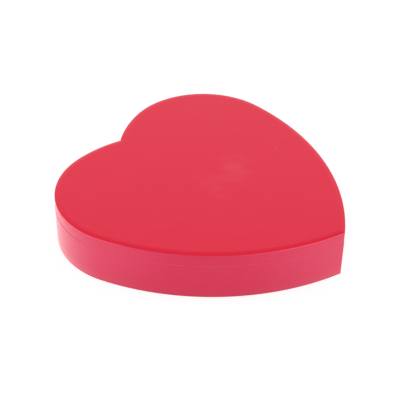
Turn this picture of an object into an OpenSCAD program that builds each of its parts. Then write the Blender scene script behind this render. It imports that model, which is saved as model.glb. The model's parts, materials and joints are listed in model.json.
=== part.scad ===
// Heart-shaped box with a lift-off lid and a wind-up musical movement inside.
// Millimetres, +Z up. X runs across the lobes, the tip points to -Y, the box stands on z = 0.

/* [Heart outline] */
// half of the overall width across the two lobes
half_w = 108; // [90:1:140]
// radius of each lobe
lobe_r = 63.6; // [55:0.1:70]
// flank radius less the lobe radius
flank_more = 127.6; // [116:1.45:145]
// radius beside the cleft less the lobe radius
cleft_more = 39.22; // [31.8:2.65:53]

/* [Box and lid] */
// overall height with the lid on
box_h = 40; // [37:0.5:45]
// radius of the soft edge round the top of the lid
rim_r = 1; // [0.6:0.1:2]
// covering paper thickness, glue included
paper_t = 0.2; // [0.15:0.01:0.3]
// lid top board thickness
lid_board_t = 2; // [1.8:0.1:3]
// lid wall board thickness
lid_wall_t = 1.5; // [1:0.1:2]
// depth of the top sheet turned down over the wall
turn_down = 11.3; // [6:0.1:13]
// depth by which the side strip laps over the top sheet
lap_h = 0.8; // [0.5:0.1:2]
// height of the lid skirt above the table
skirt_gap = 0.7; // [0.4:0.1:3]
// depth of the side strip turned up inside the skirt
turn_in = 7; // [4:0.5:12]
// gap between the lid and the tray all round
lid_fit = 0.6; // [0.4:0.05:1]
// tray wall board thickness
tray_wall_t = 2; // [1.5:0.1:3]
// clear height for the movement, from the tray floor up to the clear cover
movement_h = 20.9; // [20.9:0.1:24]
// thickness of the strip that carries the floor
riser_t = 2; // [1.5:0.1:3]
// floor board thickness
floor_t = 2; // [1.5:0.1:3]

/* [Inside the tray] */
// front face of the partition
partition_y = -12; // [-16:1:-8]
// partition thickness, flock covering included
partition_t = 2.4; // [2:0.1:4]
// padded floor of the storage space
pad_t = 1.5; // [1:0.1:3]
// flocked card round the storage space
lining_t = 1; // [0.6:0.1:2]
// distance from the lining's top edge down from the tray rim
lining_drop = 1; // [0.5:0.1:3]
// ledge that carries the clear cover
ledge_t = 2; // [1.5:0.1:3]
// clear cover thickness
cover_t = 1; // [0.8:0.1:1.5]
// gap round the clear cover
cover_fit = 0.4; // [0.2:0.05:0.8]

/* [Movement position] */
// movement centre across the box
mv_x = -1.5; // [-5:0.5:5]
// movement centre along the box
mv_y = -42; // [-46:1:-38]

/* [Bedplate and comb] */
// bedplate length
bed_l = 58; // [56:1:62]
// bedplate depth
bed_w = 45; // [44:1:50]
// bedplate thickness
bed_t = 2.2; // [2:0.1:3]
// corner radius of the bedplate
bed_r = 3; // [1:0.5:5]
// number of comb teeth
teeth_n = 18; // [12:1:18]
// distance between neighbouring comb teeth
tooth_pitch = 1.12; // [1.0:0.01:1.2]
// width of the saw cut between comb teeth
tooth_cut = 0.3; // [0.2:0.01:0.4]
// comb thickness at the base
comb_t = 1.5; // [1.2:0.1:2]
// comb thickness at the tips
tip_t = 0.6; // [0.4:0.05:0.9]
// comb depth from its back edge to the tips
comb_l = 17; // [15:0.5:18]
// comb width
comb_w = 23.4; // [22:0.1:24]
// depth of the solid base of the comb on the bass side
comb_base = 4.6; // [4:0.1:6]
// shortest tooth less than the longest tooth
tooth_step = 3.4; // [2:0.1:5]
// gap between comb tips and the circle of the pins
tip_gap = 0.05; // [0.03:0.01:0.2]

/* [Music cylinder] */
// radius of the cylinder tube
cyl_r = 6.75; // [6:0.05:7]
// wall of the cylinder tube
cyl_wall = 0.7; // [0.5:0.05:1]
// length of the cylinder
cyl_l = 21; // [20:0.5:22]
// height of the cylinder axis above the bedplate
cyl_up = 8.1; // [8:0.05:9]
// how far the pins stand out
pin_h = 0.8; // [0.6:0.05:0.9]
// diameter of a pin
pin_d = 0.36; // [0.3:0.01:0.5]
// number of pins
pins_n = 96; // [60:1:140]
// diameter of the cylinder arbor
cyl_arbor_d = 1.6; // [1.4:0.1:2]

/* [Spring barrel] */
// barrel centre across the movement
barrel_x = -12.6; // [-13:0.1:-12]
// cylinder and barrel centre along the movement
axis_y = 2; // [1:0.1:3]
// great wheel outer radius
great_r = 13.6; // [13:0.1:14]
// width of the crown teeth, radially
crown_face = 2.2; // [2:0.1:2.6]
// crown teeth
crown_n = 40; // [40:10:40]
// teeth of the pinion on the cylinder
cyl_pinion_n = 10; // [10:1:10]
// drum outer radius
drum_r = 10.9; // [10:0.1:11]
// drum height
drum_h = 9.9; // [8:0.1:10]
// drum wall
drum_wall = 0.6; // [0.4:0.05:1]
// distance of each bridge pillar from the barrel centre
pillar_off = 17; // [16.5:0.1:18]
// barrel bridge thickness
bridge_t = 1.4; // [1:0.1:1.6]
// arbor diameter
arbor_d = 3; // [2.5:0.1:3.5]
// radius of the arbor's hub inside the spring
hub_r = 3.2; // [2.8:0.1:3.6]
// mainspring thickness
spring_t = 0.35; // [0.2:0.05:0.4]
// half turns of mainspring
spring_halves = 15; // [9:2:15]
// play of a turning shaft in its hole, on the radius
run_fit = 0.05; // [0.02:0.01:0.1]
// ratchet wheel teeth
ratchet_n = 12; // [12:12:24]
// ratchet wheel radius
ratchet_r = 4.6; // [4:0.1:5]
// depth of a ratchet tooth
ratchet_depth = 0.8; // [0.5:0.1:1]

/* [Governor] */
// teeth of the gear on the cylinder
gear_n = 42; // [42:1:42]
// module of that gear
gear_m = 0.3; // [0.3:0.01:0.3]
// teeth of each small pinion
small_n = 8; // [8:1:8]
// teeth of the first governor wheel
first_n = 36; // [36:1:36]
// module of the first governor wheel
first_m = 0.25; // [0.25:0.01:0.25]
// teeth of the worm wheel
worm_wheel_n = 20; // [20:1:20]
// module of the worm wheel
worm_m = 0.26; // [0.26:0.01:0.26]
// threads of the worm
worm_starts = 2; // [2:1:2]
// pitch radius of the worm
worm_r = 1.5; // [1.4:0.05:1.6]
// reach of a fan blade
fan_r = 4.5; // [4:0.1:4.6]
// height of a fan blade
fan_h = 5.6; // [4:0.1:6]

/* [Winding key] */
// span of the key's wings
key_span = 24; // [18:0.5:26]
// thickness of the wings
key_t = 1.8; // [1.4:0.1:2.4]
// key hub diameter
key_hub_d = 6; // [5:0.5:7]
// gap between the key and the table
key_gap = 1.2; // [0.8:0.1:2]

/* [Hidden] */
$fn = 96;
big = 300;
// the three arcs of each side meet along these two directions out of the lobe's centre
flank_dir = [143, -24] / 145;
cleft_dir = [-23, 264] / 265;
r_flank = lobe_r + flank_more;
r_cleft = lobe_r + cleft_more;
flank_x = half_w - lobe_r - flank_more * flank_dir[0];
tip_down = sqrt(r_flank * r_flank - flank_x * flank_x);
lobe_y = round(500 * (tip_down + flank_more * flank_dir[1] - lobe_r)) / 1000;
c_lobe = [half_w - lobe_r, lobe_y];
c_flank = c_lobe - flank_more * flank_dir;
c_cleft = c_lobe - cleft_more * cleft_dir;
// lid
wrap2 = 2 * paper_t;
wall_in = wrap2 + lid_wall_t;
lid_in = wall_in + paper_t;
board_z = box_h - paper_t - lid_board_t;
rim_z = board_z - paper_t;
// tray
tray_out = lid_in + lid_fit;
tray_board = tray_out + paper_t;
tray_in = tray_board + tray_wall_t;
tray_face = tray_in + paper_t;
cover_top = rim_z - paper_t;
cover_z = cover_top - cover_t;
floor_z = cover_z - movement_h;
recess_h = floor_z - floor_t;
// movement
bed_z = floor_z + bed_t;
bed_x0 = -27;
bed_y0 = -23;
cyl_z = bed_z + cyl_up;
pin_r = cyl_r + pin_h;
cyl_x0 = 3.6;
cyl_x1 = cyl_x0 + cyl_l;
plate_x = cyl_x1 + 0.4;
gear_x = plate_x + 1.4;
first_x = gear_x + 1.6;
outer_x = first_x + 1.3;
tip_y = axis_y - pin_r - tip_gap;
comb_y0 = tip_y - comb_l;
comb_z = cyl_z;
crown_mid = great_r - crown_face / 2;
crown_m = 2 * crown_mid / crown_n;
pinion_r = crown_m * cyl_pinion_n / 2;
crown_z = cyl_z - pinion_r;
crown_root = crown_z - 1.24 * crown_m;
crown_tip = crown_z + 0.6 * crown_m;
great_z = bed_z + 0.7;
drum_z1 = crown_root + drum_h;
bridge_z = drum_z1 + 0.6;
ratchet_z = bridge_z + bridge_t + 0.15;
ratchet_t = 0.85;
click_c = [8.2, 5.4];
post_c = [9.2, 10];
// governor centres, as [y, z]
first_c = [axis_y + gear_m * (gear_n + small_n) / 2, cyl_z];
second_d = first_m * (first_n + small_n) / 2;
second_y = 12.3;
second_c = [second_y, cyl_z - sqrt(second_d * second_d - pow(second_y - first_c[0], 2))];
worm_x = 19.5;
wheel_r = worm_m * worm_wheel_n / 2;
worm_y = second_y + wheel_r + worm_r;
worm_lead = PI * worm_m * worm_starts;
worm_l = 4.4;
fan_z = second_c[1] + worm_l / 2 + 0.7;
arm_z = fan_z + fan_h + 0.8;
brake_z = arm_z + 1.5;
lever_z = brake_z + 0.55;
lever_y = worm_y;
// key
wing_r = (recess_h - 1 - key_gap) / 2;
key_hub_z = key_gap + wing_r / 2;
key_seat_z = key_hub_z + 3;
lever_x = 11.6;
wire_x = 24.2;

// ---- heart outline helpers ----

far_flank = c_lobe + 290 * flank_dir;
far_cleft = c_lobe + 265 * cleft_dir;

// the part of the right half that the flank arc bounds
module flank_zone() {
    polygon([[0, -big], [far_flank[0], -big], far_flank, c_lobe, [0, lobe_y]]);
}

// the part of the right half that the arc beside the cleft bounds
module cleft_zone() {
    polygon([[0, lobe_y], c_lobe, far_cleft, [0, far_cleft[1]]]);
}

// the outline drawn flat, less an inset all round
module heart(inset) {
    for (m = [0, 1]) mirror([m, 0]) {
        translate(c_lobe) circle(lobe_r - inset);
        intersection() {
            translate(c_flank) circle(r_flank - inset);
            flank_zone();
        }
        intersection() {
            translate(c_cleft) circle(r_cleft - inset);
            cleft_zone();
        }
    }
}

// the whole area inside the outline, less an inset
module slab(inset, z0, z1) {
    translate([0, 0, z0]) linear_extrude(z1 - z0) heart(inset);
}

// a strip that follows the outline, from in_a to in_b inside it
module strip(in_a, in_b, z0, z1) {
    translate([0, 0, z0]) linear_extrude(z1 - z0) difference() {
        heart(in_a);
        heart(in_b);
    }
}

// the rounded edge of a slab, turned about one arc's centre and kept inside that arc's own zone
module soft_arc(c, r, inset, z1, soft) {
    intersection() {
        translate([c[0], c[1], z1 - soft]) rotate_extrude() {
            square([r - inset - soft, soft]);
            translate([r - inset - soft, 0]) quarter_disc(soft);
        }
        translate([0, 0, z1 - soft - 1]) linear_extrude(soft + 2) children();
    }
}

// a slab with its upper edge rounded
module soft_slab(inset, z0, z1, soft) {
    slab(inset, z0, z1 - soft);
    slab(inset + soft, z0, z1);
    for (m = [0, 1]) mirror([m, 0, 0]) {
        soft_arc(c_lobe, lobe_r, inset, z1, soft) polygon([c_lobe, far_flank, [big, big], far_cleft]);
        soft_arc(c_flank, r_flank, inset, z1, soft) flank_zone();
        soft_arc(c_cleft, r_cleft, inset, z1, soft) cleft_zone();
    }
}

module quarter_disc(r) {
    intersection() {
        circle(r);
        square(r);
    }
}

module behind(y) {
    intersection() {
        children();
        translate([-big, y, 0]) cube([2 * big, big, big]);
    }
}

module before(y) {
    intersection() {
        children();
        translate([-big, y - big, 0]) cube([2 * big, big, big]);
    }
}

// ---- lid ----

module lid_top_board() {
    color("tan") soft_slab(wrap2, board_z, board_z + lid_board_t, rim_r - paper_t);
}

module lid_wall() {
    color("tan") strip(wrap2, wall_in, skirt_gap + paper_t, board_z);
}

module lid_top_wrap() {
    low = box_h - turn_down;
    color("crimson") difference() {
        soft_slab(paper_t, low, box_h, rim_r);
        soft_slab(wrap2, low - 1, box_h - paper_t, rim_r - paper_t);
    }
}

module lid_side_wrap() {
    low = skirt_gap;
    lap = box_h - turn_down;
    color("crimson") union() {
        strip(0, wrap2, low, lap);
        strip(0, paper_t, low, lap + lap_h);
        strip(0, lid_in, low, low + paper_t);
        strip(wall_in, lid_in, low, low + turn_in);
    }
}

module lid_top_liner() {
    color("whitesmoke") slab(wall_in, rim_z, board_z);
}

module lid_side_liner() {
    color("whitesmoke") strip(wall_in, lid_in, skirt_gap + turn_in, rim_z);
}

// ---- tray ----

module tray_wall() {
    color("tan") strip(tray_board, tray_in, paper_t, rim_z - paper_t);
}

module tray_wrap() {
    color("crimson") union() {
        strip(tray_out, tray_board, 0, rim_z);
        strip(tray_out, tray_in, 0, paper_t);
        strip(tray_out, tray_face, rim_z - paper_t, rim_z);
        strip(tray_in, tray_face, floor_z, rim_z);
    }
}

module riser_strip() {
    color("tan") strip(tray_in, tray_in + riser_t, 0, recess_h);
}

function mount_points() = [[-22.5, -18.5], [14.5, -19.8], [6.6, 19]];

module tray_floor() {
    color("tan") difference() {
        slab(tray_in, recess_h, floor_z);
        translate([mv_x, mv_y, 0]) {
            translate([barrel_x, axis_y, recess_h - 1]) cylinder(r = 4.2, h = floor_t + 2);
            for (p = mount_points())
                translate([p[0], p[1], recess_h - 1]) cylinder(r = 1.2, h = floor_t + 2);
        }
    }
}

module storage_pad() {
    color("darkred") behind(partition_y + partition_t) slab(tray_face, floor_z, floor_z + pad_t);
}

module storage_lining() {
    color("darkred") behind(partition_y + partition_t)
        strip(tray_face, tray_face + lining_t, floor_z + pad_t, rim_z - lining_drop);
}

module partition() {
    color("darkred") intersection() {
        slab(tray_face, floor_z, cover_z);
        translate([-big, partition_y, 0]) cube([2 * big, partition_t, big]);
    }
}

module cover_ledge() {
    color("darkred") before(partition_y)
        strip(tray_face, tray_face + ledge_t, floor_z, cover_z);
}

module clear_cover() {
    color("lightblue", 0.5) difference() {
        before(partition_y + partition_t) slab(tray_face + cover_fit, cover_z, cover_top);
        translate([mv_x + wire_x - 2.2, mv_y + lever_y - 0.8, cover_z - 1]) cube([3.4, 1.6, cover_t + 2]);
    }
}

// ---- movement helpers ----

module at_movement() {
    translate([mv_x, mv_y, 0]) children();
}

// stands a flat drawing up so that its axis runs along X from x0, centred on [y, z]
module along_x(x0, c) {
    translate([x0, c[0], c[1]]) rotate([90, 0, 90]) children();
}

module round_box(x0, y0, l, w, r, z0, h) {
    translate([x0 + r, y0, z0]) cube([l - 2 * r, w, h]);
    translate([x0, y0 + r, z0]) cube([l, w - 2 * r, h]);
    for (x = [x0 + r, x0 + l - r], y = [y0 + r, y0 + w - r])
        translate([x, y, z0]) cylinder(r = r, h = h);
}

// a gear drawing: a tooth stands on angle 0, shares are tooth widths as shares of the pitch
function gear_drawing(n, m, add, ded, tip_share, root_share) = [
    for (i = [0 : n - 1], k = [0 : 3])
        let (share = (k == 0 || k == 3) ? root_share : tip_share)
        let (a = (i + (k < 2 ? -share : share) / 2) * 360 / n)
        let (r = m * n / 2 + ((k == 0 || k == 3) ? -ded : add) * m)
        [r * cos(a), r * sin(a)]
];

module screw(r_head, h_head, r_shank, l_shank, slot = 0.5) {
    difference() {
        union() {
            cylinder(r = r_head, h = h_head);
            translate([0, 0, -l_shank]) cylinder(r = r_shank, h = l_shank + 0.1);
        }
        translate([-r_head - 1, -slot / 2, h_head - 0.4]) cube([2 * r_head + 2, slot, 1]);
    }
}

// ---- bedplate and comb ----

module bedplate() {
    color("silver") at_movement() difference() {
        union() {
            round_box(bed_x0, bed_y0, bed_l, bed_w, bed_r, floor_z, bed_t);
            translate([2.6, comb_y0, bed_z - 0.1]) cube([comb_w, comb_base + 0.6, comb_z - comb_t - bed_z + 0.1]);
        }
        translate([barrel_x, axis_y, floor_z - 1]) cylinder(d = arbor_d + 2 * run_fit, h = bed_t + 2);
        translate([worm_x, worm_y, floor_z - 1]) cylinder(r = 0.8, h = bed_t + 2);
        for (p = mount_points())
            translate([p[0], p[1], floor_z - 1]) cylinder(r = 1.2, h = bed_t + 1.001);
        for (x = comb_screw_x())
            translate([x, comb_y0 + 2.2, comb_z - comb_t - 3]) cylinder(r = 0.9, h = 4);
        for (p = bracket_screw_points())
            translate([p[0], p[1], bed_z - 1.6]) cylinder(r = 0.7, h = 2);
    }
}

module mounting_screws() {
    color("gray") at_movement() for (p = mount_points())
        translate([p[0], p[1], recess_h]) mirror([0, 0, 1]) screw(2.6, 1.3, 1.2, floor_t + bed_t, 0.7);
}

function comb_screw_x() = [7.4, 21.2];

module comb() {
    left = cyl_x0 + cyl_l / 2 - teeth_n * tooth_pitch / 2;
    color("slategray") at_movement() difference() {
        union() {
            translate([2.6, comb_y0, comb_z - comb_t]) cube([comb_w, comb_base + tooth_step + 2.4, comb_t]);
            translate([left, comb_y0 + 2, comb_z - tip_t]) cube([teeth_n * tooth_pitch, comb_l - 2, tip_t]);
        }
        for (i = [0 : teeth_n])
            translate([left + i * tooth_pitch - tooth_cut / 2, tooth_root(i), comb_z - comb_t - 1])
                cube([tooth_cut, 20, comb_t + 2]);
        translate([0, comb_y0 + comb_base, comb_z - comb_t - 1]) cube([left - tooth_cut / 2, 20, 5]);
        translate([left + teeth_n * tooth_pitch + tooth_cut / 2, comb_y0 + comb_base, comb_z - comb_t - 1])
            cube([20, 20, 5]);
        for (x = comb_screw_x())
            translate([x, comb_y0 + 2.2, comb_z - comb_t - 1]) cylinder(r = 0.9, h = comb_t + 2);
    }
}

function tooth_root(i) = comb_y0 + comb_base + tooth_step * (teeth_n - i) / teeth_n;

module comb_screws() {
    color("gray") at_movement() for (x = comb_screw_x())
        translate([x, comb_y0 + 2.2, comb_z]) screw(1.9, 1.1, 0.9, comb_t + 3);
}

// ---- spring barrel and winding ----

module at_barrel(z) {
    at_movement() translate([barrel_x, axis_y, z]) children();
}

module great_wheel() {
    tooth = 0.38 * PI * crown_m;
    color("goldenrod") difference() {
        union() {
            at_barrel(great_z) cylinder(r = great_r, h = crown_root - great_z);
            at_barrel(crown_root - 0.2) for (i = [0 : crown_n - 1])
                rotate([0, 0, (i + 0.5) * 360 / crown_n])
                    translate([great_r - crown_face, -tooth / 2, 0])
                        cube([crown_face - 0.08, tooth, crown_tip - crown_root + 0.2]);
        }
        at_barrel(great_z - 1) cylinder(d = arbor_d + 2 * run_fit, h = 9);
    }
}

module barrel_drum() {
    color("gainsboro") at_barrel(crown_root) difference() {
        cylinder(r = drum_r, h = drum_z1 - crown_root);
        translate([0, 0, 0.5]) cylinder(r = drum_r - drum_wall, h = 20);
        translate([0, 0, -1]) cylinder(r = 2.4, h = 3);
    }
}

module barrel_cap() {
    color("gainsboro") at_barrel(drum_z1 - 0.7) difference() {
        cylinder(r = drum_r - drum_wall, h = 0.6);
        translate([0, 0, -1]) cylinder(d = arbor_d + 2 * run_fit, h = 3);
    }
}

module mainspring() {
    step = (drum_r - drum_wall - hub_r - spring_t - 0.2) / (spring_halves + 1);
    color("steelblue") at_barrel(crown_root + 0.7) for (k = [0 : spring_halves - 1])
        translate([k % 2 == 0 ? 0 : step, 0, 0]) rotate([0, 0, 180 * k]) rotate_extrude(angle = 180)
            translate([hub_r + 0.1 + k * step, 0]) square([spring_t, drum_z1 - crown_root - 1.7]);
}

module winding_arbor() {
    color("lightgray") at_barrel(0) union() {
        translate([0, 0, key_seat_z]) cylinder(d = arbor_d, h = ratchet_z - key_seat_z);
        translate([0, 0, crown_root + 0.65]) cylinder(r = hub_r - 0.05, h = drum_z1 - crown_root - 1.6);
        translate([-1.05, -1.05, ratchet_z - 0.1]) cube([2.1, 2.1, ratchet_t + 0.6]);
    }
}

module winding_key() {
    color("gainsboro") at_barrel(0) difference() {
        union() {
            translate([0, 0, key_hub_z]) cylinder(d = key_hub_d, h = recess_h - 0.6 - key_hub_z);
            translate([-key_span / 2 + wing_r, -key_t / 2, key_gap])
                cube([key_span - 2 * wing_r, key_t, 2 * wing_r - 3.2]);
            for (s = [-1, 1]) translate([s * (key_span / 2 - wing_r), key_t / 2, key_gap + wing_r])
                rotate([90, 0, 0]) cylinder(r = wing_r, h = key_t);
        }
        translate([0, 0, key_seat_z]) cylinder(d = arbor_d, h = recess_h);
        for (s = [-1, 1]) translate([s * (key_span / 2 - wing_r), key_t, key_gap + wing_r])
            rotate([90, 0, 0]) cylinder(r = wing_r * 15 / 44, h = 2 * key_t);
    }
}

module barrel_pillars() {
    color("gainsboro") for (s = [-1, 1]) at_barrel(bed_z) translate([0, s * pillar_off, 0]) difference() {
        cylinder(r = 2.2, h = bridge_z - bed_z);
        translate([0, 0, bridge_z - bed_z - 3.4]) cylinder(r = 0.9, h = 5);
    }
}

module barrel_bridge() {
    color("goldenrod") at_barrel(bridge_z) difference() {
        union() {
            translate([-3.6, -pillar_off, 0]) cube([7.2, 2 * pillar_off, bridge_t]);
            for (s = [-1, 1]) translate([0, s * pillar_off, 0]) cylinder(r = 3.6, h = bridge_t);
            cylinder(r = 6.4, h = bridge_t);
            translate([0, 2.2, 0]) cube([8.2, 9.6, bridge_t]);
            translate([click_c[0], click_c[1], 0]) cylinder(r = 3.2, h = bridge_t);
            translate([click_c[0], click_c[1], 0]) cube([3.2, 6.4, bridge_t]);
        }
        translate([0, 0, -1]) cylinder(d = arbor_d + 2 * run_fit, h = 4);
        for (s = [-1, 1]) translate([0, s * pillar_off, -1]) cylinder(r = 0.9, h = 4);
        translate([click_c[0], click_c[1], -1]) cylinder(r = 0.7, h = 4);
        translate([post_c[0], post_c[1], -1]) cylinder(r = 0.6, h = 4);
    }
}

module bridge_screws() {
    color("gray") for (s = [-1, 1]) at_barrel(bridge_z + bridge_t) translate([0, s * pillar_off, 0])
        screw(1.9, 1, 0.9, bridge_t + 3.4);
}

module ratchet_wheel() {
    root = ratchet_r - ratchet_depth;
    pitch = 360 / ratchet_n;
    saw = [for (i = [0 : ratchet_n - 1], k = [0 : 1])
        let (a = 90 + i * pitch + k * (pitch - 0.5))
        let (r = k == 0 ? ratchet_r : root)
        [r * cos(a), r * sin(a)]];
    color("lightgray") at_barrel(ratchet_z) linear_extrude(ratchet_t) difference() {
        polygon(saw);
        square(2.1, center = true);
    }
}

module click() {
    color("slategray") at_barrel(ratchet_z) difference() {
        linear_extrude(ratchet_t) union() {
            translate(click_c) circle(1.9);
            polygon([[0.12, 3.98], [0.9, 4.12], [3.2, 4.3], [8.0, 3.55], [7.6, 7.2], [2.6, 6.0], [0.12, 4.75]]);
        }
        translate([click_c[0], click_c[1], -1]) cylinder(r = 0.9 + run_fit, h = 3);
    }
}

module click_screw() {
    color("gray") at_barrel(ratchet_z + ratchet_t + 0.1) translate([click_c[0], click_c[1], 0]) union() {
        screw(1.5, 0.7, 0.9, ratchet_t + 0.25, 0.4);
        translate([0, 0, -ratchet_t - 0.25 - bridge_t]) cylinder(r = 0.7, h = bridge_t + 0.1);
    }
}

module click_spring() {
    color("lightgray") at_barrel(bridge_z + bridge_t) union() {
        translate([post_c[0], post_c[1], 0]) cylinder(r = 1.1, h = 1.1);
        translate([post_c[0], post_c[1], -bridge_t]) cylinder(r = 0.6, h = bridge_t + 0.1);
        translate([post_c[0], post_c[1], 0.15]) rotate([0, 0, 216]) translate([0, -0.12, 0]) cube([4.3, 0.24, 0.85]);
    }
}

// ---- music cylinder ----

module music_cylinder() {
    color("gold") at_movement() along_x(cyl_x0, [axis_y, cyl_z]) difference() {
        cylinder(r = cyl_r, h = cyl_l);
        translate([0, 0, 1.2]) cylinder(r = cyl_r - cyl_wall, h = cyl_l - 2.4);
        translate([0, 0, -1]) cylinder(d = cyl_arbor_d, h = cyl_l + 2);
    }
}

// tracks visited in turn: a rising and falling figure that repeats with a shift
function track(i) = (5 * i + 3 * floor(i / 7) + floor(i / 16)) % teeth_n;

module cylinder_pins() {
    left = cyl_l / 2 - teeth_n * tooth_pitch / 2 + tooth_pitch / 2;
    color("silver") at_movement() along_x(cyl_x0, [axis_y, cyl_z]) for (i = [0 : pins_n - 1])
        rotate([0, 0, (i + 0.5) * 360 / pins_n]) translate([cyl_r - 0.3, 0, left + track(i) * tooth_pitch])
            rotate([0, 90, 0]) cylinder(d = pin_d, h = pin_h + 0.3, $fn = 24);
}

module cylinder_arbor() {
    x0 = -1.5;
    color("lightgray") at_movement() along_x(x0, [axis_y, cyl_z]) cylinder(d = cyl_arbor_d, h = gear_x + 1.5 - x0);
}

module cylinder_pinion() {
    color("lightgray") at_movement() along_x(-1.4, [axis_y, cyl_z]) difference() {
        rotate([0, 0, -90]) linear_extrude(2.6)
            polygon(gear_drawing(cyl_pinion_n, crown_m, 0.72, 1.1, 0.22, 0.5));
        translate([0, 0, -1]) cylinder(d = cyl_arbor_d, h = 5);
    }
}

module cylinder_gear() {
    color("goldenrod") at_movement() along_x(gear_x, [axis_y, cyl_z]) difference() {
        rotate([0, 0, 180 / gear_n]) linear_extrude(1.2)
            polygon(gear_drawing(gear_n, gear_m, 0.75, 1.2, 0.24, 0.44));
        translate([0, 0, -1]) cylinder(d = cyl_arbor_d, h = 4);
    }
}

function bracket_screw_points() = [[6.8, 12.8], [13, 20], [23.4, 19.8], [27.9, 18.2]];

module cylinder_bracket() {
    color("silver") at_movement() difference() {
        union() {
            translate([1.9, axis_y - 3.4, bed_z]) cube([1.2, 6.8, cyl_up]);
            along_x(1.9, [axis_y, cyl_z]) cylinder(r = 3.4, h = 1.2);
            translate([1.9, axis_y - 3.4, bed_z]) cube([1.2, 16.2, 2.4]);
            translate([1.9, axis_y + 8.6, bed_z]) cube([7.2, 4.2, 1]);
        }
        along_x(1, [axis_y, cyl_z]) cylinder(d = cyl_arbor_d + 2 * run_fit, h = 3);
        translate([6.8, 12.8, bed_z - 1]) cylinder(r = 0.7, h = 4);
    }
}

// ---- governor ----

module arbor_hole(x0, c, d, l) {
    along_x(x0, c) cylinder(d = d + 2 * run_fit, h = l);
}

module governor_plate() {
    color("silver") at_movement() difference() {
        union() {
            translate([plate_x, axis_y - 3, bed_z]) cube([1, 13, cyl_up + 2.4]);
            translate([plate_x, axis_y - 3, bed_z]) cube([1, 22.6, 5.6]);
            translate([plate_x - 3.2, 17.2, bed_z]) cube([3.3, 4.4, 1]);
        }
        arbor_hole(plate_x - 1, [axis_y, cyl_z], cyl_arbor_d, 3);
        arbor_hole(plate_x - 1, first_c, 0.8, 3);
        arbor_hole(plate_x - 1, second_c, 0.8, 3);
        translate([23.4, 19.8, bed_z - 1]) cylinder(r = 0.7, h = 4);
    }
}

module governor_outer_plate() {
    color("silver") at_movement() difference() {
        union() {
            translate([outer_x, 6.6, bed_z]) cube([1, 9, cyl_up + 1.8]);
            translate([outer_x, 6.6, bed_z]) cube([1, 13.8, 3]);
            translate([outer_x - 3.1, 16, bed_z]) cube([3.2, 4.4, 1]);
        }
        arbor_hole(outer_x - 1, first_c, 0.8, 3);
        arbor_hole(outer_x - 1, second_c, 0.8, 3);
        translate([27.9, 18.2, bed_z - 1]) cylinder(r = 0.7, h = 4);
    }
}

module governor_frame() {
    color("silver") at_movement() difference() {
        union() {
            translate([10.4, 14.3, bed_z]) cube([11.2, 7.2, 1]);
            translate([15.4, 10.6, bed_z]) cube([1, 4, second_c[1] + 1.8 - bed_z]);
            translate([10.4, worm_y - 1.9, bed_z]) cube([2.4, 3.8, arm_z + 1 - bed_z]);
            translate([10.4, worm_y - 1.9, arm_z]) cube([worm_x - 10.4, 3.8, 1]);
            translate([worm_x, worm_y, arm_z]) cylinder(r = 1.9, h = 1);
            for (s = [-1.9, 1.1]) translate([10.4, worm_y + s, arm_z]) cube([2.4, 0.8, lever_z + 1.2 - arm_z]);
        }
        arbor_hole(15, second_c, 0.8, 2);
        translate([worm_x, worm_y, bed_z - 1]) cylinder(d = 1.2 + 2 * run_fit, h = 20);
        translate([13, 20, bed_z - 1]) cylinder(r = 0.7, h = 4);
        translate([lever_x, worm_y + 3, lever_z + 0.4]) rotate([90, 0, 0]) cylinder(r = 0.4, h = 6);
    }
}

module bracket_screws() {
    color("gray") at_movement() for (p = bracket_screw_points())
        translate([p[0], p[1], bed_z + 1]) screw(1.3, 0.8, 0.7, 2.6, 0.4);
}

module first_arbor() {
    tooth_to_gear = 0;
    color("lightgray") at_movement() union() {
        along_x(plate_x + 0.1, first_c) cylinder(d = 0.8, h = outer_x + 0.8 - plate_x);
        along_x(gear_x - 0.1, first_c) rotate([0, 0, tooth_to_gear]) linear_extrude(1.4)
            polygon(gear_drawing(small_n, gear_m, 0.7, 1.15, 0.2, 0.46));
    }
}

function mesh_bearing() = atan2(second_c[1] - first_c[1], second_c[0] - first_c[0]);

module first_wheel() {
    color("goldenrod") at_movement() along_x(first_x, first_c) difference() {
        rotate([0, 0, mesh_bearing() + 180 / first_n]) linear_extrude(0.8)
            polygon(gear_drawing(first_n, first_m, 0.75, 1.2, 0.24, 0.44));
        translate([0, 0, -1]) cylinder(d = 0.8, h = 3);
    }
}

module worm_wheel_arbor() {
    color("lightgray") at_movement() union() {
        along_x(15.5, second_c) cylinder(d = 0.8, h = outer_x + 0.8 - 15.5);
        along_x(first_x - 0.2, second_c) rotate([0, 0, mesh_bearing() + 180]) linear_extrude(1.2)
            polygon(gear_drawing(small_n, first_m, 0.7, 1.15, 0.2, 0.46));
        along_x(worm_x - 1.4, second_c) cylinder(d = 1.6, h = 2.8);
    }
}

module worm_wheel() {
    color("goldenrod") at_movement() along_x(worm_x - 0.5, second_c) difference() {
        linear_extrude(1) polygon(gear_drawing(worm_wheel_n, worm_m, 0.8, 1.1, 0.2, 0.42));
        translate([0, 0, -1]) cylinder(d = 1.6, h = 3);
    }
}

module worm() {
    turn = -360 * worm_l / worm_lead;
    thread = [for (i = [0 : 23])
        let (a = i * 15)
        let (off = abs((a + 90) % 180 - 90))
        let (r = worm_r + (off < 16 ? 0.8 : (off < 31 ? 0 : -1.15)) * worm_m)
        [r * cos(a), r * sin(a)]];
    color("lightgray") at_movement() translate([worm_x, worm_y, 0]) union() {
        translate([0, 0, bed_z - 0.6]) cylinder(d = 1.2, h = brake_z - bed_z + 1);
        translate([0, 0, second_c[1] - worm_l / 2]) rotate([0, 0, turn / 2])
            linear_extrude(worm_l, twist = turn, slices = 44, $fn = 24) polygon(thread);
    }
}

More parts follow.
